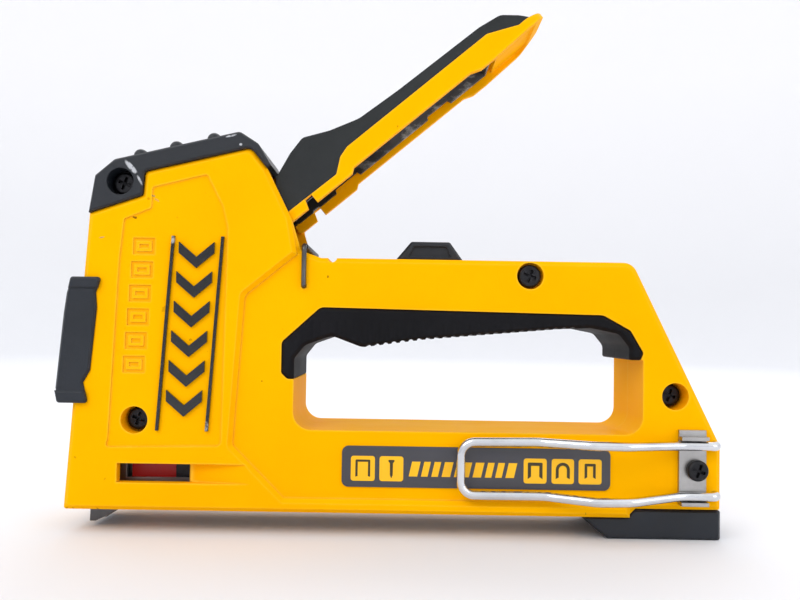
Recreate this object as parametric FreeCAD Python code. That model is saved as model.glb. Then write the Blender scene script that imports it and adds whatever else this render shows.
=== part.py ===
import FreeCAD, Part
import math
import os

# Hand-powered staple gun. Millimetres, +Z up, nose towards -X, rear towards +X.
# It is drawn with X = 0 at the lower front corner of the nose, Z = 0 at the underside of the
# housing and Y = 0 on the joint plane of the two shells. The last step moves everything so
# that the origin is at the centre of the bottom of the overall box.

# ---- driving dimensions -------------------------------------------------------------------
BODY_LENGTH = 199.5       # nose front to rear of the housing
BAR_TOP = 77.5            # top of the bar above the hand opening
NOSE_HALF = 18.0          # half width of the nose tower and the lower rail
BODY_HALF = NOSE_HALF - 2.0       # half width of bar and base
WALL = 3.0                # housing wall
NOSE_LEAN = math.radians(3.6)     # backward lean of the nose tower
RAIL_TOP = 4.2            # top of the wider rail along the base
TOWER_ROOM = 48.0         # rear end of the wide room inside the nose tower
BEVEL = 1.3               # bevel round the housing's side faces
CAP_BEVEL = 0.55
CAP_PROUD = 0.3           # how far the cap's sides stand out from the nose
RIB_R = 2.2               # round ribs across the top of the cap

OPENING_LEFT = 68.8       # hand opening
OPENING_RIGHT = 175.5
OPENING_FLOOR = 24.8
OPENING_CORNER = 5.5

LEVER_PIVOT = (52.0, 90.0)
LEVER_OPEN = 40.0         # degrees that the lever stands open at rest
LEVER_HALF = NOSE_HALF - WALL - 1.0
LEVER_WALL = 2.0
LEVER_LENGTH = 116.0      # pivot to tip
TIP_RADIUS = 10.0         # length of the lever's rounded end, from above
LEVER_DEPTH = 10.8        # pivot to the lower edge of the closed lever
GRIP_SKIN = 1.8           # soft overmould on the lever
STEEL = 1.4               # pressed steel thickness of the lever channel
CHANNEL_HALF = LEVER_HALF - LEVER_WALL - 1.8
PIN_R = 3.0
PIN_CLEARANCE = 0.06
ARM = 27.0                # lever arm that lifts the hammer
ARM_TIP_R = 2.5
ARM_RISE = 3.7            # degrees that the arm points up when the lever is closed
ARM_GAP = 0.4             # between the arm and the bar it lifts

DRIVE_X = 8.7             # drive line at the base, measured from the nose front
HAMMER_FRONT = 4.6        # from the drive line to the hammer's front
HAMMER_FLOOR = 40.0
HAMMER_TOP = 54.0
HAMMER_HALF = 7.0
SPRING_SEAT = 85.2
DRIVE_SPRING_R = 4.1
DRIVE_WIRE_R = 0.85
BLADE_THICK = 1.0
BLADE_HALF = 6.0

RAIL_HALF = 5.0           # inner rail that the staples straddle
RAIL_HEIGHT = 12.0
RAIL_WALL = 1.0
TRACK_HALF = 9.2
TRACK_TOP = 15.4
TRACK_WALL = 1.0
MAGAZINE_START = 10.3
MAGAZINE_END = 166.0
MAGAZINE_TRAVEL = 105.0
PUSHER_FRONT = 17.5
PUSHER_LENGTH = 27.0
PUSHER_SEAM = 13.8        # from the pusher's front to where its rear part starts
PUSHER_TRAVEL = 88.0
ROD_R = 1.2
ROD_Z = 6.2               # height of the pusher's rod above the base
FOOT_DROP = 7.2           # how far the foot stands below the housing
FOOT_HALF = BODY_HALF - 1.5
TIP_DROP = 5.6            # how far the nose tip stands below the housing

PAD_HEIGHT = 6.3          # how far the lever's stop pad stands above the bar

SELECTOR_TRAVEL = 6.0
SELECTOR_GAP = 0.3
SELECTOR_SIDE = 1.4       # thickness of the selector's cheeks
SELECTOR_STEP = 0.7       # its head and lip stand out from them

BAIL_PIVOT = (71.4, 68.7)
BAIL_ARM = 12.2
BAIL_WIRE_R = 0.75
BAIL_SLEEVE_R = 1.0
BAIL_SWING = 44.0         # degrees from upright to its seat on the bar
BAIL_SIDE = BODY_HALF + 0.95      # half distance between the bail's legs
BAIL_GAP = 0.25           # round the bail in the lever's notch

HOOK_WIRE_R = 1.35
HOOK_FRONT = 119.9
HOOK_TOP = 22.1
HOOK_FLOOR = 7.0
HOOK_STANDOFF = 8.0       # wire centre to the housing side at the belt gap
HOOK_TIP_GAP = 2.2        # between the housing side and the wire at its free end
HOOK_END = 197.4
HOOK_PLATE = 1.2          # thickness of the bracket that holds the hook

SCREW_HEAD_R = 3.6
SCREW_BORE_R = 4.1
SCREW_SHANK_R = 1.9
SLIDE_GAP = 0.25


# ---- helpers ------------------------------------------------------------------------------
def vec(x, y, z):
    return FreeCAD.Vector(x, y, z)


def corner(before, here, after, radius):
    """Points where a rounded corner starts, bulges and ends."""
    bx, bz = before[0] - here[0], before[1] - here[1]
    ax, az = after[0] - here[0], after[1] - here[1]
    lb, la = math.hypot(bx, bz), math.hypot(ax, az)
    bx, bz, ax, az = bx / lb, bz / lb, ax / la, az / la
    half = math.acos(max(-1.0, min(1.0, bx * ax + bz * az))) / 2
    reach = min(radius / math.tan(half), 0.49 * lb, 0.49 * la)
    radius = reach * math.tan(half)
    mx, mz = bx + ax, bz + az
    ml = math.hypot(mx, mz)
    out = radius / math.sin(half) - radius
    start = (here[0] + bx * reach, here[1] + bz * reach)
    mid = (here[0] + mx / ml * out, here[1] + mz / ml * out)
    end = (here[0] + ax * reach, here[1] + az * reach)
    return start, mid, end


def side_wire(points, y):
    """Closed wire in the plane Y = y through (x, z) or (x, z, corner radius) points."""
    spots = []
    count = len(points)
    for i, here in enumerate(points):
        radius = here[2] if len(here) > 2 else 0
        if radius:
            spots.append(corner(points[i - 1], here, points[(i + 1) % count], radius))
        else:
            spots.append((here[:2],) * 3)
    edges = []
    for i, (start, mid, end) in enumerate(spots):
        if start != end:
            edges.append(Part.Arc(*[vec(p[0], y, p[1]) for p in (start, mid, end)]).toShape())
        following = spots[(i + 1) % count][0]
        if math.dist(end, following) > 1e-6:
            edges.append(Part.makeLine(vec(end[0], y, end[1]), vec(following[0], y, following[1])))
    return Part.Wire(edges)


def prism(points, low, high):
    """Solid between the planes Y = low and Y = high."""
    return Part.Face(side_wire(points, low)).extrude(vec(0, high - low, 0))


def inset(points, distance):
    """The same outline moved inwards by a distance, or outwards if it is negative."""
    area = 0
    count = len(points)
    for i in range(count):
        a, b = points[i], points[(i + 1) % count]
        area += a[0] * b[1] - b[0] * a[1]
    sign = 1 if area > 0 else -1
    moved = []
    for i in range(count):
        p, q, r = points[i - 1], points[i], points[(i + 1) % count]
        n1 = normal(p, q, sign)
        n2 = normal(q, r, sign)
        scale = distance / (1 + n1[0] * n2[0] + n1[1] * n2[1])
        spot = (q[0] + (n1[0] + n2[0]) * scale, q[1] + (n1[1] + n2[1]) * scale)
        moved.append(spot + tuple(q[2:]))
    return moved


def normal(p, q, sign):
    length = math.hypot(q[0] - p[0], q[1] - p[1])
    return (-(q[1] - p[1]) / length * sign, (q[0] - p[0]) / length * sign)


def bevelled(points, inner, outer, bevel):
    """Prism from Y = inner to Y = outer whose outer face is bevelled all round."""
    step = bevel if outer > inner else -bevel
    body = prism(points, inner, outer - step)
    wires = [side_wire(points, outer - step), side_wire(inset(points, bevel), outer)]
    return body.fuse(Part.makeLoft(wires, True, True)).removeSplitter()


def box(x0, x1, y0, y1, z0, z1):
    return Part.makeBox(x1 - x0, y1 - y0, z1 - z0, vec(x0, y0, z0))


def cross_rod(x, z, radius, y0, y1):
    """Cylinder along Y."""
    return Part.makeCylinder(radius, y1 - y0, vec(x, y0, z), vec(0, 1, 0))


def both_sides(shape):
    return [shape, shape.mirror(vec(0, 0, 0), vec(0, 1, 0))]


def lean(shape):
    """Tilt a shape drawn about the drive line so that it follows the nose."""
    turned = shape.copy()
    turned.rotate(vec(DRIVE_X, 0, 0), vec(0, 1, 0), math.degrees(NOSE_LEAN))
    return turned


def lever_pose(shape):
    """Turn a shape drawn on the closed lever to the open rest pose."""
    turned = shape.copy()
    turned.rotate(vec(LEVER_PIVOT[0], 0, LEVER_PIVOT[1]), vec(0, 1, 0), -LEVER_OPEN)
    return turned


def from_pivot(points):
    """Points given from the lever pivot, moved to the model's frame."""
    return [(LEVER_PIVOT[0] + p[0], LEVER_PIVOT[1] + p[1]) + tuple(p[2:]) for p in points]


def coil(radius, wire, length, turns, start, direction):
    """Helical spring from start along a direction."""
    helix = Part.makeHelix(length / turns, length, radius)
    section = Part.Wire(Part.makeCircle(wire, vec(radius, 0, 0), vec(0, 1, 0)))
    spring = Part.Wire(helix.Edges).makePipeShell([section], True, True)
    turn = FreeCAD.Rotation(vec(0, 0, 1), direction)
    spring.Placement = FreeCAD.Placement(start, turn)
    return spring


def nose_front(z):
    return z * math.tan(NOSE_LEAN)


def one(shape):
    """The only solid of a shape."""
    return shape.Solids[0]


# ---- outlines that several pieces share ---------------------------------------------------
SHOULDER = 90.0
BASE_STEP = 171.5         # where the underside steps up to clear the foot
BASE_LIFT = 2.3
REAR_TOP = (172.3, BAR_TOP)
REAR_LOW = (BODY_LENGTH, 21.8)

CAP_TAIL = [(59.6, 104.5), (60.9, 105.3)]
CAP_SEAM = [(21.9, 95.6, 0.8), (22.4, 102.9, 1.5), (54.6, 110.7, 2.5)] + CAP_TAIL[:1]

TOWER_BACK = [(67.2, 89.2, 5.0), (70.2, 79.6, 0.8)]

HOUSING = ([(0, 0, 0.8), (nose_front(SHOULDER), SHOULDER)] + CAP_SEAM + TOWER_BACK
           + [(76.4, BAR_TOP, 1.0), REAR_TOP + (4.5,), REAR_LOW + (6.0,), (BODY_LENGTH, BASE_LIFT, 0.5),
              (BASE_STEP + BASE_LIFT, BASE_LIFT), (BASE_STEP, 0)])

RAISED = ([(0, 0, 0.8), (nose_front(SHOULDER), SHOULDER)] + CAP_SEAM
          + [(67.2, 89.2, 5.0), (69.2, 78.4), (53.5, 65.5, 3.0), (50.6, 20.0, 2.0),
             (66.5, RAIL_TOP, 1.0), (BASE_STEP, RAIL_TOP), (BASE_STEP, 0)])

# the insert's outer edge, then the bare lower half of the opening
INSERT_EDGE = [(66.8, 40.2, 1.5), (64.9, 42.0, 1.5), (64.9, 51.5, 2.0), (76.6, 62.3, 3.0),
               (163.2, 61.2, 4.0), (171.6, 56.6, 2.0), (175.6, 49.8, 1.0), (174.8, 47.6, 0.8)]
INSERT_FACE = [(171.3, 47.6, 0.8), (171.3, 51.5, 3.0), (168.0, 55.6, 3.0), (159.5, 57.2, 5.0),
               (149.5, 56.7, 8.0), (108.0, 52.8, 20.0), (89.5, 50.2, 5.0), (80.2, 53.6, 4.0),
               (72.0, 50.6, 3.0), (68.8, 46.5, 2.0), (OPENING_LEFT, 40.2, 0.5)]
RIM = [(INSERT_EDGE[1][0], OPENING_FLOOR)] + INSERT_EDGE[2:6] + [(OPENING_RIGHT, OPENING_FLOOR)]
HOLE = (INSERT_EDGE + [(OPENING_RIGHT, 47.6), (OPENING_RIGHT, OPENING_FLOOR, OPENING_CORNER),
                       (OPENING_LEFT, OPENING_FLOOR, OPENING_CORNER), (OPENING_LEFT, 40.2)])

WINDOW = (16.2, 37.5, 8.4, 14.2)      # x from, x to, z from, z to
WINDOW_RAMP = 57.0

NOSE_SCREW = (20.9, 27.2)
BAR_SCREW = (140.7, 72.9)
REAR_SCREW = (185.4, 36.7)
CAP_SCREW = (15.2, 99.6)
HOOK_SCREW = (191.4, 14.7)
SCREW_DEPTHS = {NOSE_SCREW: 7.0, BAR_SCREW: 3.4, REAR_SCREW: 8.0}
SCREW_WIDTHS = {NOSE_SCREW: NOSE_HALF, BAR_SCREW: BODY_HALF, REAR_SCREW: BODY_HALF}
BOSS_WALL = 1.6

PANEL = [(25.0, 98.0, 1.0), (41.6, 102.2, 1.0), (46.6, 92.5, 2.0), (48.2, 86.0, 2.0), (47.4, 19.8, 1.5),
         (12.4, 19.0, 1.5), (13.2, 21.5), (15.4, 76.0), (16.6, 88.2, 1.0), (24.8, 91.6, 1.0)]
PANEL_DEPTH = 0.5
RIB_SPOTS = (20.4, 31.4, 42.9)


# ---- housing ------------------------------------------------------------------------------
def window_cut():
    """Side window over the front of the magazine, with its long shallow ramp."""
    x0, x1, z0, z1 = WINDOW
    through = box(x0, x1, -NOSE_HALF - 1, -NOSE_HALF + WALL + 1, z0, z1)
    ramp = [(x1 - 0.1, -NOSE_HALF - 0.1), (WINDOW_RAMP, -NOSE_HALF - 0.1), (x1 - 0.1, -NOSE_HALF + WALL)]
    wire = Part.makePolygon([vec(x, y, z0) for x, y in ramp + ramp[:1]])
    return through.fuse(Part.Face(wire).extrude(vec(0, 0, z1 - z0)))


def gauge_marks():
    """A column of plain debossed bars, like a depth gauge, along the front of the nose panel."""
    marks = []
    for i in range(6):
        z = 77.5 - i * 7.2
        x = 19.4 + nose_front(z - 77.5)
        frame = [(x, z), (x + 6.6, z), (x + 6.6, z + 5.0), (x, z + 5.0)]
        outer = prism(frame, -NOSE_HALF - 1, -NOSE_HALF + PANEL_DEPTH + 0.45)
        inner = prism(inset(frame, 0.9), -NOSE_HALF - 2, -NOSE_HALF + PANEL_DEPTH + 1)
        bar = prism(inset(frame, 1.9), -NOSE_HALF - 1, -NOSE_HALF + PANEL_DEPTH + 0.45)
        marks.append(outer.cut(inner).fuse(bar))
    return marks


def lever_slot():
    """Gap in the top and back of the tower that the lever swings through."""
    half = LEVER_HALF + 0.6
    floor = LEVER_PIVOT[1] - LEVER_DEPTH - 0.5
    return prism([(56.0, 113), (56.0, 84), (59.0, floor), (78.0, floor), (78.0, 113)], -half, half)


def shell():
    """The near half, on the -Y side."""
    outer = bevelled(HOUSING, 0, -BODY_HALF, BEVEL).fuse(bevelled(RAISED, 0, -NOSE_HALF, BEVEL))
    hole = prism(HOLE, -NOSE_HALF - 1, 1)
    rim = prism(inset(RIM, -WALL), -NOSE_HALF - 1, 1)
    hollow = prism(inset(HOUSING, WALL), -(BODY_HALF - WALL), 1).cut(rim)
    tower = prism(inset(HOUSING, WALL), -(NOSE_HALF - WALL), 1)
    tower = tower.common(box(-5, TOWER_ROOM, -NOSE_HALF, 1, WALL, 120))
    solid = outer.cut(hole).cut(hollow).cut(tower)
    bosses = []
    for spot, width in SCREW_WIDTHS.items():
        bosses.append(cross_rod(spot[0], spot[1], SCREW_BORE_R + BOSS_WALL, -(width - 1), 0))
    boss_room = prism(inset(HOUSING, 0.8), -NOSE_HALF, 1).cut(prism(inset(HOLE, -0.8), -NOSE_HALF - 1, 1))
    solid = solid.fuse(Part.makeCompound(bosses).common(boss_room))
    pin_boss = cross_rod(*LEVER_PIVOT, PIN_R + 3, -(NOSE_HALF - WALL + 0.5), -(CHANNEL_HALF + 0.5))
    solid = solid.fuse(pin_boss)
    cuts = [window_cut(), lever_slot()]
    cuts.append(prism(PANEL, -NOSE_HALF - 1, -NOSE_HALF + PANEL_DEPTH))
    cuts += gauge_marks()
    for spot, depth in SCREW_DEPTHS.items():
        width = SCREW_WIDTHS[spot]
        cuts.append(cross_rod(*spot, SCREW_BORE_R, -width - 3, -(width - depth)))
        cuts.append(cross_rod(*spot, SCREW_SHANK_R + 0.1, -width, 1))
    cuts.append(cross_rod(*LEVER_PIVOT, PIN_R, -(NOSE_HALF - WALL), 1))
    cuts.append(cross_rod(*BAIL_PIVOT, BAIL_WIRE_R + 0.05, -NOSE_HALF - 1, -BODY_HALF + WALL + 1))
    seat = bail_point(BAIL_SWING)
    cuts.append(cross_rod(*seat, BAIL_SLEEVE_R + 0.35, -NOSE_HALF - 1, 1))
    for z in (HOOK_TOP, HOOK_FLOOR):
        cuts.append(cross_rod(HOOK_END, z, HOOK_WIRE_R, -NOSE_HALF - 1, -BODY_HALF + 6))
    cuts.append(cross_rod(*HOOK_SCREW, SCREW_SHANK_R, -NOSE_HALF, -4))
    cuts.append(box(DRIVE_X - 4.0, BODY_LENGTH + 1, -TRACK_HALF, 1, -1, TRACK_TOP))
    cuts.append(selector_slot())
    tip = arm_tip_closed()
    top = tip[1] + ARM_TIP_R + 0.5
    cuts.append(box(tip[0] - ARM_TIP_R - 0.8, tip[0] + 2, -CHANNEL_HALF - 0.5, 1, tip[1] - 4, top))
    return one(solid.cut(cuts).removeSplitter())


def selector_slot():
    """Slot in the nose front for the selector's tongue."""
    length = 6.0 + SELECTOR_TRAVEL + 2 * SELECTOR_GAP
    z0 = 48.0 - SELECTOR_GAP
    slot = box(nose_front(z0) - 3, nose_front(z0) + WALL + 1.5, -4.3, 1, z0, z0 + length)
    return slot


def bail_point(angle):
    """Centre of the bail's cross bar after it swings back by an angle."""
    a = math.radians(angle)
    return (BAIL_PIVOT[0] + BAIL_ARM * math.sin(a), BAIL_PIVOT[1] + BAIL_ARM * math.cos(a))


# ---- cap, screws, trim --------------------------------------------------------------------
def top_cap():
    edge = [(nose_front(SHOULDER), SHOULDER), (7.4, 101.4, 1.0), (13.2, 106.4, 2.0), (51.2, 115.5, 2.2),
            (56.9, 111.9, 2.5)]
    outline = edge + CAP_TAIL[1:] + list(reversed(CAP_SEAM))
    cap = bevelled(outline, 0, -NOSE_HALF - CAP_PROUD, CAP_BEVEL)
    cap = cap.fuse(cap.mirror(vec(0, 0, 0), vec(0, 1, 0)))
    front, back = edge[2], edge[3]
    reach = NOSE_HALF - RIB_R - 0.6
    for x in RIB_SPOTS:
        z = front[1] + (x - front[0]) * (back[1] - front[1]) / (back[0] - front[0]) - 0.2
        rib = cross_rod(x, z, RIB_R, -reach, reach)
        ends = [Part.makeSphere(RIB_R, vec(x, y, z)) for y in (-reach, reach)]
        cap = cap.fuse([rib] + ends)
    room = NOSE_HALF - 2.8
    pocket = prism([(27, 100), (50, 105), (50, 112.4), (27, 106.8)], -room, room)
    cap = cap.cut(pocket)
    bores = []
    for side in (-1, 1):
        y_out = side * (NOSE_HALF + 2)
        y_in = side * (NOSE_HALF - 6)
        bores.append(cross_rod(*CAP_SCREW, SCREW_BORE_R, min(y_out, y_in), max(y_out, y_in)))
    bores.append(cross_rod(*CAP_SCREW, SCREW_SHANK_R, -NOSE_HALF, NOSE_HALF))
    return one(cap.cut(bores).removeSplitter())


def recess(x, z, y, depth):
    """Cross recess cut into a screw head that faces -Y."""
    arms = []
    for angle in (20, 110):
        arm = box(x - 2.0, x + 2.0, y - 0.1, y + depth, z - 0.45, z + 0.45)
        arm.rotate(vec(x, 0, z), vec(0, 1, 0), angle)
        arms.append(arm)
    return arms[0].fuse(arms[1])


def screw(spot, head_y, length, head_r=SCREW_HEAD_R, head_height=2.4):
    """Pan-head screw with its head's seat at Y = head_y, running towards +Y."""
    head = cross_rod(*spot, head_r, head_y - head_height, head_y)
    rim = [e for e in head.Edges if abs(e.CenterOfMass.y - (head_y - head_height)) < 1e-3]
    head = head.makeFillet(1.0, rim)
    head = head.cut(recess(spot[0], spot[1], head_y - head_height, 1.5))
    shank = cross_rod(*spot, SCREW_SHANK_R, head_y, head_y + length)
    return one(head.fuse(shank))


def cap_screws():
    near = screw(CAP_SCREW, -(NOSE_HALF - 6), 8.0)
    return Part.makeCompound(both_sides(near))


def housing_screws():
    screws = []
    for spot, depth in SCREW_DEPTHS.items():
        screws.append(screw(spot, -(SCREW_WIDTHS[spot] - depth), 2 * (SCREW_WIDTHS[spot] - depth)))
    return Part.makeCompound(screws)


def grip_insert():
    """Near half of the soft insert round the top of the hand opening, ribbed under the bar."""
    outline = INSERT_EDGE + INSERT_FACE
    body = bevelled(outline, 0, -BODY_HALF - 0.5, 1.0)
    grooves = []
    pitch = 2.6
    for i in range(25):
        x = 91.5 + i * pitch
        z = face_height(x)
        grooves.append(cross_rod(x, z - 0.35, 0.9, -BODY_HALF - 2, 1))
    return one(body.cut(grooves).removeSplitter())


def face_height(x):
    """Height of the insert's lower face at a place along the bar."""
    line = sorted(p[:2] for p in INSERT_FACE)
    for a, b in zip(line, line[1:]):
        if a[0] <= x <= b[0] and b[0] > a[0]:
            return a[1] + (b[1] - a[1]) * (x - a[0]) / (b[0] - a[0])
    return line[0][1]


def lever_bumper():
    half = CHANNEL_HALF - STEEL - 0.6
    top = BAR_TOP + PAD_HEIGHT
    pad = [(99.0, BAR_TOP), (104.2, top, 1.0), (116.4, top, 1.0), (121.0, BAR_TOP)]
    whole = bevelled(pad, 0, -half, 0.8).fuse(bevelled(pad, 0, half, 0.8))
    dish = prism(inset([(101.0, BAR_TOP)] + pad[1:3] + [(119.0, BAR_TOP)], 1.5), -half - 1, -half + 0.7)
    return one(whole.cut(both_sides(dish)).removeSplitter())


def label_plate():
    x0, x1, z0, z1 = 84.0, 165.6, 7.9, 20.3
    edge = [(x0, z0, 2.0), (x1, z0, 2.0), (x1, z1, 2.0), (x0, z1, 2.0)]
    return prism(edge, -BODY_HALF - 0.4, -BODY_HALF)


def badge():
    """Two raised rules on the nose with a column of plain chevrons between them."""
    face = -NOSE_HALF + PANEL_DEPTH
    top = face - 0.9
    pieces = []
    for x in (27.6, 42.6):
        rule = [(x, 24.2), (x + 0.9, 24.2), (x + 0.9 + nose_front(59), 83.2), (x + nose_front(59), 83.2)]
        pieces.append(prism(rule, top, face))
    for i in range(6):
        z = 28.5 + i * 9.0
        x = 30.4 + nose_front(z - 24.2)
        chevron = [(x, z + 4.6), (x + 5.4, z), (x + 10.8, z + 4.6), (x + 10.8, z + 8.0),
                   (x + 5.4, z + 3.4), (x, z + 8.0)]
        pieces.append(prism(chevron, top, face))
    return Part.makeCompound([one(p) for p in pieces])


# ---- belt hook ----------------------------------------------------------------------------
def belt_hook():
    """One bent wire: out from the bracket over the belt gap, then back in to its looped free end."""
    near = -BODY_HALF - HOOK_PLATE - HOOK_WIRE_R - 0.1
    far = -BODY_HALF - HOOK_STANDOFF
    tip = -BODY_HALF - HOOK_TIP_GAP - HOOK_WIRE_R
    buried = -BODY_HALF + 5
    upper = [(HOOK_END, buried, HOOK_TOP), (HOOK_END, near, HOOK_TOP), (186.0, near, HOOK_TOP),
             (169.0, far, HOOK_TOP + 0.2), (159.0, far, HOOK_TOP + 0.3), (143.0, tip, HOOK_TOP + 0.6),
             (HOOK_FRONT, tip, HOOK_TOP + 0.3)]
    lower = [(HOOK_FRONT, tip, HOOK_FLOOR - 0.4), (145.0, tip, HOOK_FLOOR - 0.4),
             (160.0, far, HOOK_FLOOR - 1.1), (170.0, far, HOOK_FLOOR - 0.9), (186.0, near, HOOK_FLOOR),
             (HOOK_END, near, HOOK_FLOOR), (HOOK_END, buried, HOOK_FLOOR)]
    return wire_piece(upper + lower, HOOK_WIRE_R, [2.0, 14, 12, 12, 14, 4.2, 4.2, 14, 12, 12, 14, 2.0])


def wire_piece(run, radius, bends):
    """Round wire along straight runs joined by tangent arcs."""
    points = [vec(*p) for p in run]
    edges = []
    here = points[0]
    for i, bend in enumerate(bends, 1):
        before = (points[i - 1] - points[i]).normalize()
        after = (points[i + 1] - points[i]).normalize()
        half = before.getAngle(after) / 2
        reach = bend / math.tan(half)
        start = points[i] + before * reach
        end = points[i] + after * reach
        mid = points[i] + (before + after).normalize() * (bend / math.sin(half) - bend)
        edges.append(Part.makeLine(here, start))
        edges.append(Part.Arc(start, mid, end).toShape())
        here = end
    edges.append(Part.makeLine(here, points[-1]))
    path = Part.Wire(edges)
    first = (points[1] - points[0]).normalize()
    section = Part.Wire(Part.makeCircle(radius, points[0], first))
    return one(path.makePipeShell([section], True, False))


def hook_bracket():
    x0, x1 = 186.2, 194.4
    face = -BODY_HALF
    plate = box(x0, x1, face - HOOK_PLATE, face, HOOK_FLOOR - 2.4, HOOK_TOP + 4.6)
    lips = []
    for z0, z1 in ((HOOK_FLOOR - 2.8, HOOK_FLOOR - 1.7), (HOOK_TOP + 1.7, HOOK_TOP + 2.8)):
        lips.append(box(x0, x1, face - 3.6, face - 0.5, z0, z1))
    plate = plate.fuse(lips)
    hole = cross_rod(*HOOK_SCREW, SCREW_SHANK_R, face - 3, face + 1)
    return one(plate.cut(hole).removeSplitter())


def hook_screw():
    seat = -BODY_HALF - HOOK_PLATE
    return screw(HOOK_SCREW, seat, -TRACK_HALF - seat, SCREW_HEAD_R - 0.4, 2.2)


# ---- nose: selector, drive, nose plate ------------------------------------------------------
def power_selector():
    edge = [(1.3, 70.3, 1.0), (10.3, 70.3, 0.8), (8.9, 65.5), (9.3, 61.0), (7.7, 42.0), (5.7, 38.3),
            (7.2, 32.2, 0.8), (-1.9, 32.2, 1.0), (-2.8, 36.6, 1.0), (-0.9, 59.0), (-0.1, 65.5)]
    head = [(0.6, 66.8), (1.3, 70.3, 1.0), (10.3, 70.3, 0.8), (9.4, 66.8)]
    lip = [(-2.7, 35.9), (-1.9, 32.2, 1.0), (7.2, 32.2, 0.8), (6.3, 35.9)]
    half = NOSE_HALF + SELECTOR_GAP + SELECTOR_SIDE
    whole = bevelled(edge, 0, -half + SELECTOR_STEP, 0.8).fuse(bevelled(edge, 0, half - SELECTOR_STEP, 0.8))
    for block in (head, lip):
        whole = whole.fuse([bevelled(block, 0, -half, 0.5), bevelled(block, 0, half, 0.5)])
    room = prism(inset(HOUSING, -SELECTOR_GAP), -NOSE_HALF - SELECTOR_GAP, NOSE_HALF + SELECTOR_GAP)
    reach = DRIVE_X - HAMMER_FRONT - 0.6
    tongue = box(nose_front(48) - 1.5, nose_front(48) + reach, -4.0, 4.0, 48.0, 54.0)
    return one(whole.cut(room).fuse(tongue).removeSplitter())


def drive_box(u0, u1, half, w0, w1):
    """Box about the drive line, given along it from the base."""
    return lean(box(DRIVE_X + u0, DRIVE_X + u1, -half, half, w0, w1))


def hammer():
    block = drive_box(-HAMMER_FRONT, 6.5, HAMMER_HALF, HAMMER_FLOOR, HAMMER_TOP)
    cheek = [(14.0, HAMMER_FLOOR + 1), (21.0, HAMMER_FLOOR + 1), (26.5, 60.0, 3), (26.5, 80.0),
             (20.2, 80.0), (20.2, 70.5), (14.0, 60.0)]
    cheeks = lean(prism(cheek, 4.0, 7.5)), lean(prism(cheek, -7.5, -4.0))
    tip = arm_tip()
    half = CHANNEL_HALF + STEEL
    bar = box(tip[0] - 5.8, tip[0] + 1.6, -half, half, tip[1] + ARM_TIP_R + ARM_GAP, tip[1] + 6.2)
    slot = drive_box(-BLADE_THICK / 2, BLADE_THICK / 2, BLADE_HALF, HAMMER_FLOOR - 1, HAMMER_TOP - 2)
    return one(block.fuse(list(cheeks) + [bar]).cut(slot).removeSplitter())


def drive_blade():
    return drive_box(-BLADE_THICK / 2, BLADE_THICK / 2, BLADE_HALF, -TIP_DROP + 0.6, HAMMER_TOP - 2)


def arm_tip():
    """Centre of the arm's round end at rest."""
    a = math.radians(LEVER_OPEN - ARM_RISE)
    return (LEVER_PIVOT[0] - ARM * math.cos(a), LEVER_PIVOT[1] - ARM * math.sin(a))


def arm_tip_closed():
    a = math.radians(ARM_RISE)
    return (LEVER_PIVOT[0] - ARM * math.cos(a), LEVER_PIVOT[1] + ARM * math.sin(a))


def along_drive(w):
    return vec(DRIVE_X + w * math.sin(NOSE_LEAN), 0, w * math.cos(NOSE_LEAN))


def drive_spring():
    direction = vec(math.sin(NOSE_LEAN), 0, math.cos(NOSE_LEAN))
    free = SPRING_SEAT - HAMMER_TOP
    start = along_drive(HAMMER_TOP + DRIVE_WIRE_R + 0.05)
    return coil(DRIVE_SPRING_R, DRIVE_WIRE_R, free - 2 * DRIVE_WIRE_R - 0.1, 7, start, direction)


def spring_seat():
    return drive_box(-5.0, 6.5, NOSE_HALF - WALL - 3.0, SPRING_SEAT, SPRING_SEAT + 2.0)


def stop_buffer():
    block = drive_box(-4.4, 5.5, 9.0, HAMMER_FLOOR - 4.0, HAMMER_FLOOR - 0.05)
    return one(block.cut(drive_box(-1.0, 1.0, BLADE_HALF + 0.4, 30, 45)))


def nose_plate():
    """Front guide of the blade, with the tip that stands below the base."""
    plate = drive_box(-3.4, -BLADE_THICK / 2 - 0.1, 8.4, 0.5, 33.0)
    tip = [(4.9, 1.5), (4.7, -TIP_DROP), (6.6, -TIP_DROP), (12.9, -2.4), (12.9, -0.3), (8.0, -0.3),
           (8.0, 1.5)]
    tip = prism(tip, -8.4, 8.4)
    slot = drive_box(-BLADE_THICK / 2 - 0.1, BLADE_THICK / 2 + 0.1, BLADE_HALF + 0.2, -9, 6)
    return one(plate.fuse(tip).cut(slot).removeSplitter())


# ---- lever --------------------------------------------------------------------------------
def from_tip(back):
    """Distance from the pivot of a place given by its distance back from the lever's tip."""
    return LEVER_LENGTH - back


LEVER_BACK = [(from_tip(7.4), -7.2, 0.6), (from_tip(14.4), -1.3, 4.0), (from_tip(22.0), -0.2, 10.0),
              (62.0, 0.4, 20.0), (47.0, 1.2, 10.0), (37.6, 4.0, 10.0), (29.6, 7.6, 2.5), (23.6, 6.2, 4.0),
              (15.4, 3.0, 3.0), (10.4, -3.0, 3.0)]
LEVER_SEAM = [(12.0, -7.6), (30.6, -7.9, 1.0), (35.0, -4.4, 1.5), (38.6, -3.3, 1.5),
              (from_tip(21.4), -3.3, 2.0), (from_tip(11.8), -7.4, 1.0)]
LEVER_EDGE = [(from_tip(1.0), -8.7, 1.0), (from_tip(8.0), -10.0, 4.0), (from_tip(24.0), -LEVER_DEPTH, 4.0),
              (from_tip(29.5), -LEVER_DEPTH), (from_tip(33.0), -9.6), (36.2, -9.6), (34.6, -LEVER_DEPTH),
              (9.6, -LEVER_DEPTH, 1.0)]
OVERMOULD = [(from_tip(7.4), -7.2), (from_tip(2.0), 12.0), (0.0, 12.0), (0.0, -7.6)] + LEVER_SEAM


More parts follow.
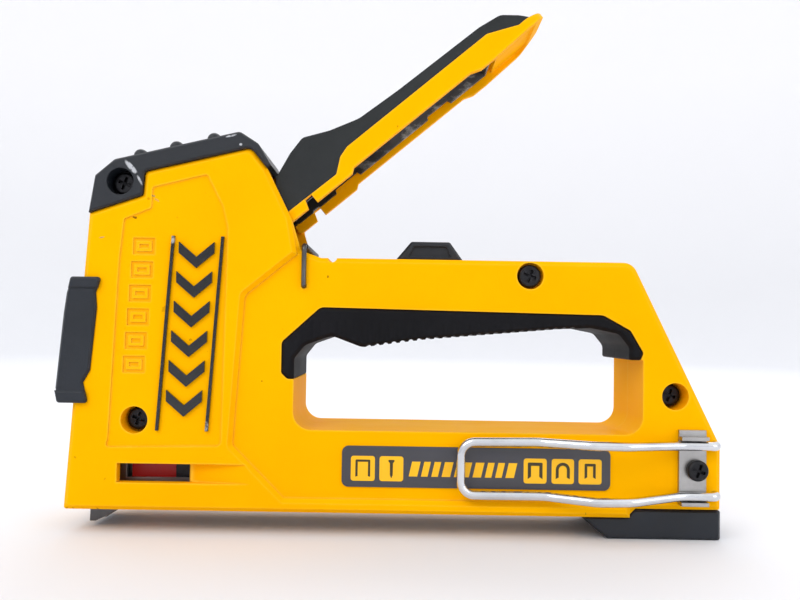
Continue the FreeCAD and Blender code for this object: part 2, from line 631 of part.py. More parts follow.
def plan_cut(half, length, radius):
    """The lever's outline from above, extruded upwards: straight sides and a round tip."""
    x0, z = LEVER_PIVOT
    corners = [(0, -half), (length - radius, -half), (length, 0), (length - radius, half), (0, half)]
    points = [vec(x0 + x, y, z - 40) for x, y in corners]
    edges = [Part.makeLine(points[0], points[1]), Part.Arc(*points[1:4]).toShape(),
             Part.makeLine(points[3], points[4]), Part.makeLine(points[4], points[0])]
    return Part.Face(Part.Wire(edges)).extrude(vec(0, 0, 80))


def lever_outline():
    return from_pivot([(from_tip(0.1), -7.2, 0.8)] + LEVER_BACK + list(reversed(LEVER_EDGE)))


def lever_whole():
    whole = prism(lever_outline(), -LEVER_HALF, LEVER_HALF)
    return whole.common(plan_cut(LEVER_HALF, LEVER_LENGTH, TIP_RADIUS))


def lever_grip():
    """Soft overmould: the back of the lever above the seam."""
    skin = lever_whole().common(prism(from_pivot(OVERMOULD), -LEVER_HALF, LEVER_HALF))
    return lever_pose(one(skin.cut([lever_core(), channel_room(), bail_notch()])))


CHANNEL_BACK = [(from_tip(22.0), -3.2), (46.0, -2.6), (30.0, -0.5), (22.0, -0.5), (8.0, 3.5)]


def channel_room():
    """Space inside the lever that the steel channel fills."""
    half = CHANNEL_HALF + 0.2
    back = [(p[0], p[1] + 0.2) for p in CHANNEL_BACK]
    end = from_tip(21.8)
    back[0] = (end, back[0][1])
    return prism(from_pivot([(5.0, -14.0), (end, -14.0)] + back + [(5.0, 4.6)]), -half, half)


def lever_core():
    """What lies under the overmould."""
    half = LEVER_HALF - GRIP_SKIN
    outline = [(8.0, -12.0)] + list(reversed(LEVER_BACK)) + [(from_tip(6.0), -12.0)]
    return prism(from_pivot(inset(outline, GRIP_SKIN)), -half, half)


def bail_notch():
    """Notch in the lever's lower edges that the bail's cross bar enters as the lever closes."""
    x, z = bail_point(0)
    gap = BAIL_SLEEVE_R + BAIL_GAP
    entry = [(x - gap - 1.8, z - 4), (x + gap, z - 4), (x + gap, z + gap), (x - gap, z + gap)]
    return prism(entry, -LEVER_HALF - 1, LEVER_HALF + 1)


def lever_shell():
    cover = lever_whole().cut(prism(from_pivot(OVERMOULD), -LEVER_HALF - 1, LEVER_HALF + 1))
    cover = cover.fuse(lever_whole().common(lever_core()))
    half = LEVER_HALF - LEVER_WALL
    end = from_tip(20.0)
    low = from_pivot([(5.0, -14.0), (5.0, -5.6), (end, -5.6), (end, -14.0)])
    dish = from_pivot([(end - 1, -14.0), (end - 1, -8.6), (from_tip(6.0), -8.6), (from_tip(3.0), -14.0)])
    cuts = [prism(low, -half, half), channel_room()]
    round_end = plan_cut(half, LEVER_LENGTH - LEVER_WALL, TIP_RADIUS - LEVER_WALL)
    cuts.append(prism(dish, -half, half).common(round_end))
    cuts.append(bail_notch())
    return lever_pose(one(cover.cut(cuts).removeSplitter()))


def lever_channel():
    """Pressed-steel channel: two cheeks round the pivot, joined by a web along the lever."""
    tip_a = math.radians(ARM_RISE)
    tip = (-ARM * math.cos(tip_a), ARM * math.sin(tip_a))
    cheek = [(tip[0], tip[1] - ARM_TIP_R, 0), (-8.0, -5.5, 4.0), (8.0, -6.5, 3.0), (12.0, -8.2, 1.0),
             (28.0, -8.2), (28.6, -6.9), (38.0, -6.9), (38.6, -8.2), (from_tip(48.0), -8.2),
             (from_tip(47.4), -7.2), (from_tip(38.6), -7.2), (from_tip(38.0), -8.6),
             (from_tip(22.0), -8.6, 1.0)]
    cheek += CHANNEL_BACK + [(-7.0, 5.5, 5.0), (tip[0] + ARM_TIP_R, tip[1]), (tip[0], tip[1])]
    body = prism(from_pivot(cheek), -CHANNEL_HALF, CHANNEL_HALF)
    end = from_pivot([tip])[0]
    body = body.fuse(cross_rod(end[0], end[1], ARM_TIP_R, -CHANNEL_HALF, CHANNEL_HALF))
    inner = CHANNEL_HALF - STEEL
    room = from_pivot([(-40.0, -20.0), (-40.0, 20.0), (12.0, 20.0), (12.0, -1.0 - STEEL), (22.0, -1.9),
                       (30.0, -1.9), (46.0, -2.6 - STEEL), (from_tip(23.4), -3.2 - STEEL),
                       (from_tip(23.4), -20.0)])
    body = body.cut(prism(room, -inner, inner))
    body = body.cut([bail_notch(), cross_rod(*LEVER_PIVOT, PIN_R + PIN_CLEARANCE, -20, 20)])
    return lever_pose(one(body.removeSplitter()))


def lever_pin():
    return cross_rod(*LEVER_PIVOT, PIN_R, -(NOSE_HALF - WALL), NOSE_HALF - WALL)


def lever_return_spring():
    radius = PIN_R + 1.2
    start = vec(LEVER_PIVOT[0], -5.0, LEVER_PIVOT[1])
    return coil(radius, 0.6, 10.0, 6, start, vec(0, 1, 0))


def lock_bail():
    top = bail_point(0)
    inner = BODY_HALF - WALL + 0.5
    run = [(BAIL_PIVOT[0], -inner, BAIL_PIVOT[1]), (BAIL_PIVOT[0], -BAIL_SIDE, BAIL_PIVOT[1]),
           (top[0], -BAIL_SIDE, top[1]), (top[0], BAIL_SIDE, top[1]),
           (BAIL_PIVOT[0], BAIL_SIDE, BAIL_PIVOT[1]), (BAIL_PIVOT[0], inner, BAIL_PIVOT[1])]
    return wire_piece(run, BAIL_WIRE_R, [0.9, 1.4, 1.4, 0.9])


def bail_sleeve():
    top = bail_point(0)
    reach = BAIL_SIDE - 1.75
    tube = cross_rod(*top, BAIL_SLEEVE_R, -reach, reach)
    return one(tube.cut(cross_rod(*top, BAIL_WIRE_R, -reach - 1, reach + 1)))


# ---- magazine -----------------------------------------------------------------------------
def magazine_track():
    outer = box(MAGAZINE_START, MAGAZINE_END, -TRACK_HALF, TRACK_HALF, 0.6, TRACK_TOP)
    half = TRACK_HALF - TRACK_WALL
    roof = TRACK_TOP - TRACK_WALL
    inner = box(0, MAGAZINE_END + 5, -half, half, -1, roof)
    x0, x1, z0, z1 = WINDOW
    window = box(x0, x1, -NOSE_HALF, NOSE_HALF, z0, min(z1, roof))
    return one(outer.cut([inner, window]))


def magazine_rail():
    outer = box(MAGAZINE_START + 0.4, MAGAZINE_END, -RAIL_HALF, RAIL_HALF, 1.2, RAIL_HEIGHT)
    half = RAIL_HALF - RAIL_WALL
    inner = box(0, MAGAZINE_END + 5, -half, half, 0, RAIL_HEIGHT - RAIL_WALL)
    return one(outer.cut(inner))


def pusher():
    """Front of the pusher: a block over the rail, behind the staples."""
    x0, x1 = PUSHER_FRONT, PUSHER_FRONT + PUSHER_SEAM
    return pusher_block(x0, x1, False)


def pusher_tail():
    """Rear of the pusher, joined under the rail to an inner boss on the rod."""
    x0, x1 = PUSHER_FRONT + PUSHER_SEAM, PUSHER_FRONT + PUSHER_LENGTH
    return pusher_block(x0, x1, True)


def pusher_block(x0, x1, boss):
    side = TRACK_HALF - TRACK_WALL - SLIDE_GAP
    top = TRACK_TOP - TRACK_WALL - SLIDE_GAP
    outer = box(x0, x1, -side, side, 0.2, top)
    gap = RAIL_HALF + SLIDE_GAP
    block = outer.cut(box(x0 - 1, x1 + 1, -gap, gap, -1, RAIL_HEIGHT + SLIDE_GAP))
    if not boss:
        return one(block)
    floor = box(x0, x1, -side, side, -0.2, 0.9)
    half = RAIL_HALF - RAIL_WALL - SLIDE_GAP
    inner = box(x0, x1, -half, half, -0.2, RAIL_HEIGHT - RAIL_WALL - SLIDE_GAP)
    bore = Part.makeCylinder(ROD_R + 0.08, x1 - x0 + 2, vec(x0 - 1, 0, ROD_Z), vec(1, 0, 0))
    return one(block.fuse([floor, inner]).cut(bore).removeSplitter())


def pusher_rod():
    return Part.makeCylinder(ROD_R, MAGAZINE_END - 14.0, vec(14.0, 0, ROD_Z), vec(1, 0, 0))


def pusher_spring():
    x0 = PUSHER_FRONT + PUSHER_LENGTH + 0.6
    length = MAGAZINE_END - 0.6 - x0
    return coil(2.3, 0.4, length, 26, vec(x0, 0, ROD_Z), vec(1, 0, 0))


def magazine_foot():
    """Black end piece: a wedge under the rear of the base, with a block on the rail's end."""
    rear = BODY_LENGTH + 0.6
    edge = [(157.0, -0.3), (BASE_STEP - 0.3, -0.3), (BASE_STEP + BASE_LIFT - 0.3, BASE_LIFT - 0.3),
            (rear, BASE_LIFT - 0.3, 0.8), (rear, -FOOT_DROP, 0.8), (165.6, -FOOT_DROP, 1.0)]
    wedge = bevelled(edge, 0, -FOOT_HALF, 0.8).fuse(bevelled(edge, 0, FOOT_HALF, 0.8))
    side = TRACK_HALF - 0.6
    block = box(MAGAZINE_END, rear, -side, side, -1.0, TRACK_TOP - 0.6)
    return one(wedge.fuse(block).removeSplitter())


# ---- build --------------------------------------------------------------------------------
def build():
    left = shell()
    right = left.mirror(vec(0, 0, 0), vec(0, 1, 0))
    insert = grip_insert()
    nodes = {
        "left_housing": left,
        "right_housing": right,
        "top_cap": top_cap(),
        "cap_screws": cap_screws(),
        "housing_screws": housing_screws(),
        "grip_insert_left": insert,
        "grip_insert_right": insert.mirror(vec(0, 0, 0), vec(0, 1, 0)),
        "lever_bumper": lever_bumper(),
        "label_plate": label_plate(),
        "badge": badge(),
        "belt_hook": belt_hook(),
        "hook_bracket": hook_bracket(),
        "hook_screw": hook_screw(),
        "power_selector": power_selector(),
        "hammer": hammer(),
        "drive_blade": drive_blade(),
        "drive_spring": drive_spring(),
        "spring_seat": spring_seat(),
        "stop_buffer": stop_buffer(),
        "nose_plate": nose_plate(),
        "lever_shell": lever_shell(),
        "lever_grip": lever_grip(),
        "lever_channel": lever_channel(),
        "lever_pin": lever_pin(),
        "lever_return_spring": lever_return_spring(),
        "lock_bail": lock_bail(),
        "bail_sleeve": bail_sleeve(),
        "magazine_track": magazine_track(),
        "magazine_rail": magazine_rail(),
        "magazine_foot": magazine_foot(),
        "pusher": pusher(),
        "pusher_tail": pusher_tail(),
        "pusher_rod": pusher_rod(),
        "pusher_spring": pusher_spring(),
    }
    whole = Part.makeCompound(list(nodes.values())).optimalBoundingBox(False, False)
    offset = vec(-(whole.XMin + whole.XMax) / 2, -(whole.YMin + whole.YMax) / 2, -whole.ZMin)
    for shape in nodes.values():
        shape.translate(offset)
    return nodes, offset


NODES, OFFSET = build()
os.makedirs("parts", exist_ok=True)
for name, shape in NODES.items():
    shape.exportStep("parts/%s.step" % name)
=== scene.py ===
import math

import bmesh
import bpy
from mathutils import Matrix, Vector


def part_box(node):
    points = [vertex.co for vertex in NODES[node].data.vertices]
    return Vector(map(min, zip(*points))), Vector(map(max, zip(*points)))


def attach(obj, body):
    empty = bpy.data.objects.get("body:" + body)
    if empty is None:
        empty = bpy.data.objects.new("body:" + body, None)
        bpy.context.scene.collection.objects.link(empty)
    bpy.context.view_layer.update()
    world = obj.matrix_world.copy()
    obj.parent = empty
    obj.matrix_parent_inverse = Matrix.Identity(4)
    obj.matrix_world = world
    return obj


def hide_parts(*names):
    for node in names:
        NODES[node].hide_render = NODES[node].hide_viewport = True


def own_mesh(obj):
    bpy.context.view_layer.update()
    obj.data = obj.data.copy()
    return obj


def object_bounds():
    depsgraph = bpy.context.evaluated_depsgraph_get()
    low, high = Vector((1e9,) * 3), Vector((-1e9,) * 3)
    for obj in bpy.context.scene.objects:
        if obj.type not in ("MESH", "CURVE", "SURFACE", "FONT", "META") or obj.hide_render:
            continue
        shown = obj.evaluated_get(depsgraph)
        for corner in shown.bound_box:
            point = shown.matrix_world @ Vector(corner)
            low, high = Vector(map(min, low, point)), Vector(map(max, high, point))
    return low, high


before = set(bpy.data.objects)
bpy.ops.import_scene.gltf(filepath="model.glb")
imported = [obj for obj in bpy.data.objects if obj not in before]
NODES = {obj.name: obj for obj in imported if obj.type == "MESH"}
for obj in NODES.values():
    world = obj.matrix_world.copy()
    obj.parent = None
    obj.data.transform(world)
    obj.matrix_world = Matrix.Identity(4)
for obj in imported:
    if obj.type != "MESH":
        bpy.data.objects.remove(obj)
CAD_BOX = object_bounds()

MM = 0.001

bpy.context.scene.view_settings.view_transform = "Standard"

# ---------------------------------------------------------------- places

HOUSING_LOW, HOUSING_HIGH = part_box("left_housing")
# The tool's own coordinates: X from the nose's lower front corner, Y from the joint plane
# of the two shells, Z from the underside.
ORIGIN = Vector((HOUSING_LOW.x, HOUSING_HIGH.y, HOUSING_LOW.z))


def place(x, y, z):
    """A point given in millimetres in the tool's own coordinates."""
    return ORIGIN + Vector((x, y, z)) * MM


def add_object(name, data):
    made = bpy.data.objects.new(name, data)
    bpy.context.scene.collection.objects.link(made)
    return made


# ---------------------------------------------------------------- shader graphs

SRGB_KNEE = 10    # last sRGB byte on the curve's straight part


def rgb(r, g, b):
    """sRGB bytes as a linear colour."""
    shares = [c / 255 / 12.92 if c <= SRGB_KNEE else ((c / 255 + 0.055) / 1.055) ** 2.4
              for c in (r, g, b)]
    return tuple(shares) + (1.0,)


class Graph:
    """A node material with its Principled shader, and short ways to add to it."""

    def __init__(self, name, rough=0.5, metal=0.0):
        self.mat = bpy.data.materials.new(name)
        self.mat.use_nodes = True
        self.tree = self.mat.node_tree
        self.shader = self.tree.nodes["Principled BSDF"]
        self.set("Roughness", rough)
        self.set("Metallic", metal)
        self.coords = self.add("TexCoord").outputs["Object"]

    def plug(self, socket, value):
        """Link a socket, or store a plain value in it."""
        if isinstance(value, bpy.types.NodeSocket):
            self.tree.links.new(value, socket)
        else:
            socket.default_value = value

    def set(self, name, value):
        self.plug(self.shader.inputs[name], value)

    def add(self, kind, inputs=None, **settings):
        node = self.tree.nodes.new("ShaderNode" + kind)
        for key, value in settings.items():
            setattr(node, key, value)
        for key, value in (inputs or {}).items():
            self.plug(node.inputs[key], value)
        return node

    def noise(self, scale, detail=3.0, rough=0.5, stretch=None):
        vector = self.coords
        if stretch:
            vector = self.add("Mapping", {"Vector": vector, "Scale": stretch}).outputs[0]
        node = self.add("TexNoise", {"Vector": vector, "Scale": scale, "Detail": detail,
                                     "Roughness": rough})
        return node.outputs["Fac"]

    def step(self, value, low, high, out_low=0.0, out_high=1.0):
        node = self.add("MapRange", {"Value": value, "From Min": low, "From Max": high,
                                     "To Min": out_low, "To Max": out_high})
        return node.outputs["Result"]

    def math(self, operation, a, b=0.0):
        return self.add("Math", {0: a, 1: b}, operation=operation).outputs[0]

    def both(self, a, b):
        return self.math("MULTIPLY", a, b)

    def any_of(self, masks):
        total = masks[0]
        for mask in masks[1:]:
            total = self.math("MAXIMUM", total, mask)
        return total

    def mix(self, share, a, b):
        node = self.add("Mix", data_type="RGBA")
        for key, value in (("Factor_Float", share), ("A_Color", a), ("B_Color", b)):
            self.plug(next(s for s in node.inputs if s.identifier == key), value)
        return next(s for s in node.outputs if s.identifier == "Result_Color")

    def axis(self, name):
        return self.add("SeparateXYZ", {0: self.coords}).outputs[name]

    def rounded(self, radius):
        """Normal that rounds sharp edges off."""
        return self.add("Bevel", {"Radius": radius}, samples=4).outputs[0]

    def edges(self, radius, low, high):
        """1 on the sharp edges, 0 on flat faces."""
        plain = self.add("NewGeometry").outputs["Normal"]
        dot = self.add("VectorMath", {0: self.rounded(radius), 1: plain},
                       operation="DOT_PRODUCT").outputs["Value"]
        return self.step(dot, high, low)

    def bump(self, height, distance, strength, normal):
        return self.add("Bump", {"Height": height, "Distance": distance,
                                 "Strength": strength, "Normal": normal}).outputs[0]

    def patch(self, centre, size, turn):
        """1 inside a soft ellipsoid: centre and half sizes in mm, turned about Y by degrees."""
        softness = 0.35
        local = self.add("Mapping", {"Vector": self.coords, "Location": place(*centre),
                                     "Rotation": (0.0, math.radians(turn), 0.0),
                                     "Scale": [s * MM for s in size]},
                         vector_type="TEXTURE").outputs[0]
        reach = self.add("VectorMath", {0: local}, operation="LENGTH").outputs["Value"]
        return self.step(reach, 1.0, 1.0 - softness)


class Moulded(Graph):
    """Moulded plastic: two close tones, a fine spark texture, rubbed edges and a few flecks."""

    def __init__(self, name, tone, pale, rough, grain, specular=0.4, fleck=None,
                 round_edge=0.4 * MM, wear=0.0):
        super().__init__(name, rough)
        cloud = self.step(self.noise(22.0, detail=4.0, rough=0.6), 0.35, 0.7)
        self.colour = self.mix(cloud, tone, pale)
        if fleck:
            spots = self.step(self.noise(310.0, detail=2.0), 0.735, 0.76)
            here = self.step(self.noise(26.0, rough=0.6), 0.52, 0.66)
            self.colour = self.mix(self.both(spots, here), self.colour, fleck)
        if wear:
            torn = self.step(self.noise(420.0, detail=4.0, rough=0.7), 0.45, 0.62)
            rub = self.both(self.both(self.edges(0.7 * MM, 0.80, 0.97), torn), wear)
            self.colour = self.mix(rub, self.colour, pale)
        smear = self.noise(60.0, detail=4.0, rough=0.6)
        self.rough = self.step(smear, 0.3, 0.7, rough - 0.05, rough + 0.06)
        spark = self.noise(900.0, detail=2.0, rough=0.6)
        self.normal = self.bump(spark, grain, 0.55, self.rounded(round_edge))
        self.set("Specular IOR Level", specular)
        self.finish()

    def finish(self):
        self.set("Base Color", self.colour)
        self.set("Roughness", self.rough)
        self.set("Normal", self.normal)

    def tint(self, share, colour):
        self.colour = self.mix(share, self.colour, colour)
        self.finish()

    def scuff(self, marks, colour, strength, scale=700.0):
        """Broken marks, each a centre, half sizes and a turn."""
        where = self.any_of([self.patch(*mark) for mark in marks])
        torn = self.step(self.noise(scale, rough=0.7), 0.38, 0.52)
        self.tint(self.both(self.both(where, torn), strength), colour)

    def ribs(self, pitch, low, high, depth):
        """Upright ribs between two heights; the pitch and heights are in mm."""
        wave = self.math("SINE", self.both(self.axis("X"), 2.0 * math.pi / (pitch * MM)))
        z = self.axis("Z")
        rise = self.step(z, place(0, 0, low).z, place(0, 0, low + 1.0).z)
        fall = self.step(z, place(0, 0, high).z, place(0, 0, high - 1.5).z)
        self.normal = self.bump(self.both(wave, self.both(rise, fall)), depth, 0.8, self.normal)
        self.finish()


def steel(name, dark, light, rough, brushed=(1, 1, 1), metal=1.0, grain=0.03 * MM):
    """Metal with uneven polish, and brushing when a stretch is given."""
    g = Graph(name, metal=metal)
    tone = g.step(g.noise(70.0, detail=5.0, rough=0.6), 0.3, 0.7)
    g.set("Base Color", g.mix(tone, dark, light))
    scratch = g.noise(300.0, detail=4.0, rough=0.6, stretch=brushed)
    g.set("Roughness", g.step(scratch, 0.3, 0.7, rough - 0.06, rough + 0.08))
    g.set("Normal", g.bump(scratch, grain, 0.5, g.rounded(0.3 * MM)))
    return g


# ---------------------------------------------------------------- materials

NOSE_FACE = -18.0    # Y of the nose's photographed side
CAP_FACE = -18.3     # the cap stands a little proud of it
DIRT = rgb(150, 138, 110)
DEEP_DIRT = rgb(70, 52, 20)
PALE_SCUFF = rgb(196, 198, 202)
FLECK_DARK = rgb(140, 92, 14)
FLECK_PALE = rgb(90, 92, 95)


def yellow(name):
    """Yellow moulding with a painted highlight along its edges."""
    g = Moulded(name, rgb(252, 175, 0), rgb(253, 182, 0), 0.42, 0.06 * MM,
                specular=0.01, fleck=FLECK_DARK)
    uneven_highlight = g.step(g.noise(120.0, rough=0.6), 0.3, 0.6, 0.35, 0.75)
    # painted highlight: the bevelled edges are tinted pale yellow, in uneven strength, as if
    # catching light
    g.tint(g.both(g.edges(1.1 * MM, 0.72, 0.99), uneven_highlight), rgb(255, 205, 60))
    return g


YELLOW = yellow("yellow_moulding")
YELLOW.scuff([((26.2, NOSE_FACE, 94.1), (1.0, 2.0, 0.4), 35.0),
              ((25.2, NOSE_FACE, 95.4), (0.6, 2.0, 0.4), 20.0),
              ((9.9, NOSE_FACE, 82.4), (1.0, 2.0, 0.25), -10.0)], DIRT, 0.8)
YELLOW.scuff([((0.9, NOSE_FACE, 0.5), (0.8, 2.0, 0.3), 0.0),
              ((3.0, NOSE_FACE, 0.3), (0.6, 2.0, 0.25), 0.0)], DEEP_DIRT, 0.8)
LEVER_YELLOW = yellow("yellow_lever")

BLACK = Moulded("black_moulding", rgb(19, 24, 31), rgb(30, 35, 43), 0.46, 0.08 * MM,
                fleck=FLECK_PALE, wear=0.5)
CAP = Moulded("black_cap", rgb(21, 25, 31), rgb(31, 35, 41), 0.44, 0.08 * MM,
              fleck=FLECK_PALE, wear=0.6)
CAP.scuff([((18.4, CAP_FACE, 103.9), (3.2, 1.5, 0.85), 48.0),
           ((21.0, CAP_FACE, 100.2), (2.1, 1.5, 0.4), 62.0),
           ((51.6, CAP_FACE, 111.4), (0.55, 1.5, 0.45), 0.0),
           ((48.6, CAP_FACE, 114.0), (1.9, 1.5, 0.35), -14.0)], PALE_SCUFF, 0.85)

GRIP = Moulded("soft_grip", rgb(31, 34, 35), rgb(41, 44, 45), 0.66, 0.12 * MM,
               specular=0.3, round_edge=0.9 * MM)
INSERT = Moulded("soft_insert", rgb(15, 15, 18), rgb(22, 22, 26), 0.60, 0.12 * MM,
                 specular=0.12, round_edge=0.6 * MM)
INSERT.ribs(2.6, 51.0, 59.0, 0.12 * MM)
RUBBER = Moulded("buffer_rubber", rgb(20, 19, 19), rgb(30, 29, 28), 0.68, 0.1 * MM)
RED = Moulded("red_plastic", rgb(190, 14, 10), rgb(205, 20, 14), 0.36, 0.04 * MM)

LABEL = Moulded("label_film", rgb(58, 58, 64), rgb(66, 66, 72), 0.34, 0.02 * MM,
                specular=0.5, round_edge=0.15 * MM)
INK = Moulded("label_yellow", rgb(250, 186, 20), rgb(252, 194, 34), 0.38, 0.02 * MM,
              specular=0.3, round_edge=0.1 * MM)
SYMBOL = Moulded("label_symbol", rgb(58, 52, 34), rgb(70, 62, 40), 0.4, 0.02 * MM,
                 specular=0.3, round_edge=0.1 * MM)

BADGE = Moulded("badge_gloss", rgb(9, 10, 13), rgb(16, 17, 20), 0.2, 0.02 * MM,
                specular=0.5, round_edge=0.25 * MM)
BADGE.set("Coat Weight", 0.15)
BADGE.set("Coat Roughness", 0.06)
BADGE.scuff([((31.4, NOSE_FACE, 82.0), (1.0, 1.5, 1.6), 0.0),
             ((42.9, NOSE_FACE, 25.8), (0.8, 1.5, 1.8), 0.0)], rgb(190, 190, 186), 0.75, 500.0)

CHROME = steel("chrome_wire", rgb(196, 198, 202), rgb(226, 228, 231), 0.13, grain=0.01 * MM)
PLATED = steel("plated_steel", rgb(150, 148, 146), rgb(190, 188, 186), 0.34, brushed=(1, 1, 9))
DARK = steel("dark_steel", rgb(70, 70, 72), rgb(104, 104, 106), 0.36, brushed=(1, 1, 7))
SPRING = steel("spring_steel", rgb(96, 96, 98), rgb(138, 138, 140), 0.3)
SCREW = steel("screw_black", rgb(26, 26, 28), rgb(46, 46, 49), 0.36, metal=0.75)


def blotched_steel(name):
    """Steel inside the lever: bright rubbed patches, blackened at its front end."""
    g = Moulded(name, rgb(66, 66, 68), rgb(96, 95, 95), 0.42, 0.04 * MM, specular=0.6, wear=0.4)
    g.set("Metallic", 0.25)
    rubbed = g.step(g.noise(150.0, detail=5.0, rough=0.7, stretch=(1, 1, 1.6)), 0.5, 0.64)
    g.tint(rubbed, rgb(176, 174, 170))
    black_end, clean_end = place(82, 0, 0).x, place(98, 0, 0).x
    g.colour = g.mix(g.step(g.axis("X"), black_end, clean_end), rgb(24, 23, 23), g.colour)
    g.finish()
    return g


FINISHES = (
    (YELLOW, ("left_housing", "right_housing")),
    (LEVER_YELLOW, ("lever_shell",)),
    (CAP, ("top_cap",)),
    (BLACK, ("lever_bumper", "power_selector", "bail_sleeve", "magazine_foot", "pusher_tail")),
    (GRIP, ("lever_grip",)),
    (INSERT, ("grip_insert_left", "grip_insert_right")),
    (RUBBER, ("stop_buffer",)),
    (RED, ("pusher",)),
    (LABEL, ("label_plate",)),
    (BADGE, ("badge",)),
    (SCREW, ("cap_screws", "housing_screws", "hook_screw")),
    (CHROME, ("belt_hook",)),
    (PLATED, ("hook_bracket", "drive_blade", "spring_seat", "lever_pin", "magazine_track",
              "magazine_rail", "pusher_rod")),
    (DARK, ("hammer", "nose_plate", "lock_bail")),
    (blotched_steel("lever_steel"), ("lever_channel",)),
    (SPRING, ("drive_spring", "lever_return_spring", "pusher_spring")),
)
for graph, names in FINISHES:
    for node_name in names:
        slots = NODES[node_name].data.materials
        slots.clear()
        slots.append(graph.mat)

# ---------------------------------------------------------------- label print

LABEL_FACE = -16.4
LABEL_LEFT = 84.0
PRINT_THICK = 0.04
SYMBOL_THICK = 0.03
PRINT_SINK = 0.02         # how far the print starts under the face it lies on
TILE_LOW, TILE_HIGH = 9.75, 17.3
TILE_CORNER = 0.8
TILES = ((2.7, 10.0), (11.4, 18.65), (55.2, 62.2), (63.7, 70.5), (71.9, 78.9))
SYMBOL_TOP = 16.2
STAPLE_CORNER = 0.35
BAR_START = 20.3
BAR_LOW, BAR_HIGH, BAR_SLANT = 11.3, 15.8, 1.0
BAR_GAP = 1.13
BAR_WIDTHS = (2.6, 2.0, 2.0, 2.6, 1.4, 2.0, 2.6, 2.0, 2.0, 2.6)


def rounded_box(x0, x1, z0, z1, radius, steps=5):
    """Corner-rounded rectangle as a list of (x, z) points."""
    points = []
    for cx, cz, start in ((x1 - radius, z1 - radius, 0), (x0 + radius, z1 - radius, 90),
                          (x0 + radius, z0 + radius, 180), (x1 - radius, z0 + radius, 270)):
        for k in range(steps + 1):
            a = math.radians(start + 90.0 * k / steps)
            points.append((cx + radius * math.cos(a), cz + radius * math.sin(a)))
    return points


def staple(cx, top, width, height, thick, point, crowned=False, steps=10):
    """Outline of a staple, legs down: square with small corners, or with a round crown."""
    half, inner = width / 2, width / 2 - thick
    low = top - height
    radius = half if crowned else STAPLE_CORNER
    turns = [math.radians(180.0 * k / steps) for k in range(steps + 1)]
    outer_arc = []
    for a in turns:
        shift = (half - radius) * (1 if a < math.pi / 2 else -1)
        outer_arc.append((cx + shift + radius * math.cos(a), top - radius + radius * math.sin(a)))
    if crowned:
        inner_arc = [(cx - inner * math.cos(a), top - radius + inner * math.sin(a))
                     for a in turns]
    else:
        inner_arc = [(cx - inner, top - thick), (cx + inner, top - thick)]
    right = [(cx + inner, low + point), (cx + half, low)]
    left = [(cx - half, low), (cx - inner, low + point)]
    return outer_arc + left + inner_arc + right


def brad(cx, top, height):
    """Outline of a headed nail, point down."""
    head, neck, shank, taper = 0.9, 0.48, 0.42, 1.0
    head_low, neck_low, tip = top - 0.5, top - 0.95, top - height
    return [(cx + head, top), (cx - head, top), (cx - head, head_low), (cx - neck, neck_low),
            (cx - shank, tip + taper), (cx, tip), (cx + shank, tip + taper),
            (cx + neck, neck_low), (cx + head, head_low)]


def printed(name, outlines, face, thick, graph):
    """Raised print on the label: each outline becomes a closed slab, sunk a little into it."""
    mesh = bpy.data.meshes.new(name)
    shape = bmesh.new()
    for outline in outlines:
        inner, outer = [[shape.verts.new(place(x, y, z)) for x, z in outline]
                        for y in (face + PRINT_SINK, face - thick)]
        shape.faces.new(inner)
        shape.faces.new(list(reversed(outer)))
        for k in range(len(outline)):
            n = (k + 1) % len(outline)
            shape.faces.new((inner[n], inner[k], outer[k], outer[n]))
    bmesh.ops.recalc_face_normals(shape, faces=shape.faces)
    shape.to_mesh(mesh)
    shape.free()
    mesh.materials.append(graph.mat)
    made = add_object(name, mesh)
    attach(made, "root")


def bars():
    """A row of plain slanted bars."""
    outlines = []
    x = LABEL_LEFT + BAR_START
    for width in BAR_WIDTHS:
        outlines.append([(x, BAR_LOW), (x + width, BAR_LOW),
                         (x + width + BAR_SLANT, BAR_HIGH), (x + BAR_SLANT, BAR_HIGH)])
        x += width + BAR_GAP
    return outlines


MIDDLES = [LABEL_LEFT + (a + b) / 2 for a, b in TILES]
printed("label_tiles", [rounded_box(LABEL_LEFT + a, LABEL_LEFT + b, TILE_LOW, TILE_HIGH,
                                    TILE_CORNER) for a, b in TILES],
        LABEL_FACE, PRINT_THICK, INK)
printed("label_symbols", [
    staple(MIDDLES[0], SYMBOL_TOP, 4.5, 5.2, 0.68, 0.2),
    brad(MIDDLES[1], SYMBOL_TOP, 5.6),
    staple(MIDDLES[2], SYMBOL_TOP - 0.1, 4.5, 5.0, 1.0, 0.7),
    staple(MIDDLES[3], SYMBOL_TOP, 4.3, 5.0, 0.92, 0.5, crowned=True),
    staple(MIDDLES[4], SYMBOL_TOP - 0.2, 3.4, 4.6, 0.82, 0.5),
], LABEL_FACE - PRINT_THICK, SYMBOL_THICK, SYMBOL)
printed("label_bars", bars(), LABEL_FACE, PRINT_THICK, INK)

# ---------------------------------------------------------------- springs


def sprung(name, node, body):
    """The node's coil as a copy of its own, riding on the given body, with the node hidden."""
    made = add_object(name, NODES[node].data.copy())
    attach(made, body)
    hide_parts(node)
    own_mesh(made)


sprung("drive_coil", "drive_spring", "root")
sprung("pusher_coil", "pusher_spring", "magazine")

# ---------------------------------------------------------------- floor and backdrop


def paper():
    """Matt paper, lighter up the wall."""
    g = Graph("paper", rough=0.9)
    height = g.step(g.axis("Z"), 0.0, 0.9)
    wash = g.mix(g.noise(3.0, detail=4.0), (0.985, 0.985, 0.985, 1), (1.0, 1.0, 1.0, 1))
    tone = g.mix(height, (0.785, 0.795, 0.825, 1), (0.95, 0.945, 0.955, 1))
    both = g.add("VectorMath", {0: wash, 1: tone}, operation="MULTIPLY")
    g.set("Base Color", both.outputs["Vector"])
    g.set("Specular IOR Level", 0.1)
    return g


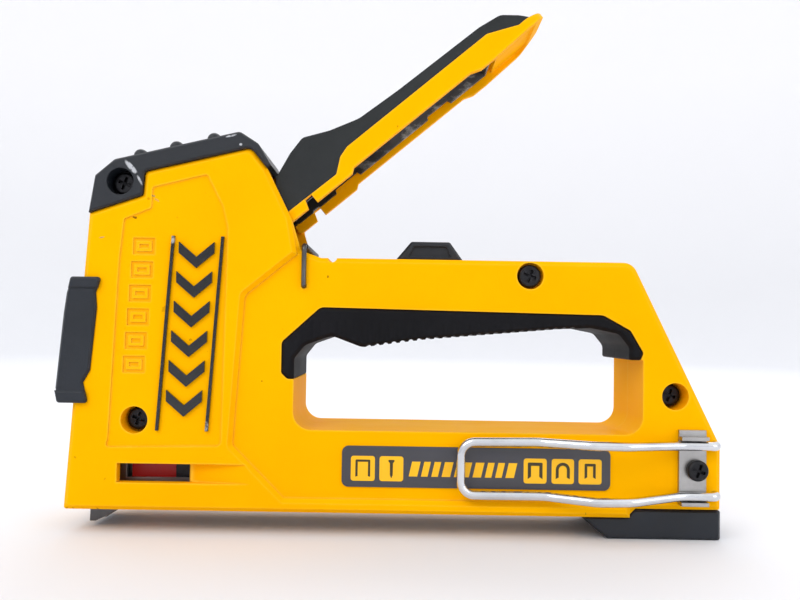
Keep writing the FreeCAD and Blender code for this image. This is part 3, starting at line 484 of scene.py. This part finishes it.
def ring(shape, radius, z, count):
    """Vertices round a circle about the Z axis."""
    turns = [2 * math.pi * k / count for k in range(count)]
    return [shape.verts.new((radius * math.cos(t), radius * math.sin(t), z)) for t in turns]


def bowl(radius=2.4, rim=1.5, bend=0.9, rings=24, sides=96):
    """A round pale floor that curves up into a wall all the way round."""
    profile = [(radius - bend, 0.0)]
    for i in range(1, rings + 1):
        t = math.pi / 2 * i / rings
        profile.append((radius - bend + bend * math.sin(t), bend - bend * math.cos(t)))
    profile.append((radius, rim))
    mesh = bpy.data.meshes.new("backdrop")
    shape = bmesh.new()
    centre = shape.verts.new((0.0, 0.0, 0.0))
    rows = [ring(shape, r, z, sides) for r, z in profile]
    for k in range(sides):
        n = (k + 1) % sides
        shape.faces.new((centre, rows[0][k], rows[0][n]))
        for inner, outer in zip(rows, rows[1:]):
            shape.faces.new((inner[k], outer[k], outer[n], inner[n]))
    shape.to_mesh(mesh)
    shape.free()
    mesh.shade_smooth()
    mesh.materials.append(paper().mat)
    made = add_object("backdrop", mesh)


bowl()

# ---------------------------------------------------------------- light

MIDDLE = (CAD_BOX[0] + CAD_BOX[1]) / 2
SKY_STRENGTH = 1.12


def softbox(name, place_at, size, power):
    """A rectangular lamp that faces the middle of the tool; places in metres, power in watts."""
    lamp = bpy.data.lights.new(name, "AREA")
    lamp.shape = "RECTANGLE"
    lamp.size, lamp.size_y = size
    lamp.energy = power
    made = add_object(name, lamp)
    made.location = place_at
    made.rotation_mode = "QUATERNION"
    made.rotation_quaternion = (MIDDLE - Vector(place_at)).to_track_quat("-Z", "Y")


softbox("key", (-0.55, -0.85, 0.95), (0.8, 0.6), power=5)
softbox("fill", (0.9, -0.7, 0.45), (0.7, 0.7), power=1.5)
softbox("back", (0.1, 1.0, 1.1), (1.2, 0.8), power=5)

world = bpy.data.worlds.new("studio")
bpy.context.scene.world = world
world.use_nodes = True
sky = world.node_tree.nodes["Background"].inputs
sky["Color"].default_value = (0.98, 0.985, 1.0, 1)
sky["Strength"].default_value = SKY_STRENGTH

# ---------------------------------------------------------------- camera

CAMERA_AT = place(100.88, -248.05, 55.53)
FOCAL_PX = 759.0
FRAME_PX = 800.0
SHIFT_PX = 12.0
SENSOR_MM = 36.0
PITCH = math.radians(1.4)
ROLL = math.radians(0.92)

lens = bpy.data.cameras.new("camera")
lens.sensor_width = SENSOR_MM
lens.lens = FOCAL_PX / FRAME_PX * SENSOR_MM
lens.shift_y = SHIFT_PX / FRAME_PX
lens.clip_start = 0.01
camera = add_object("camera", lens)
camera.location = CAMERA_AT
camera.rotation_mode = "QUATERNION"
tilt = Matrix.Rotation(math.pi / 2 + PITCH, 3, "X") @ Matrix.Rotation(ROLL, 3, "Z")
camera.rotation_quaternion = tilt.to_quaternion()
bpy.context.scene.camera = camera
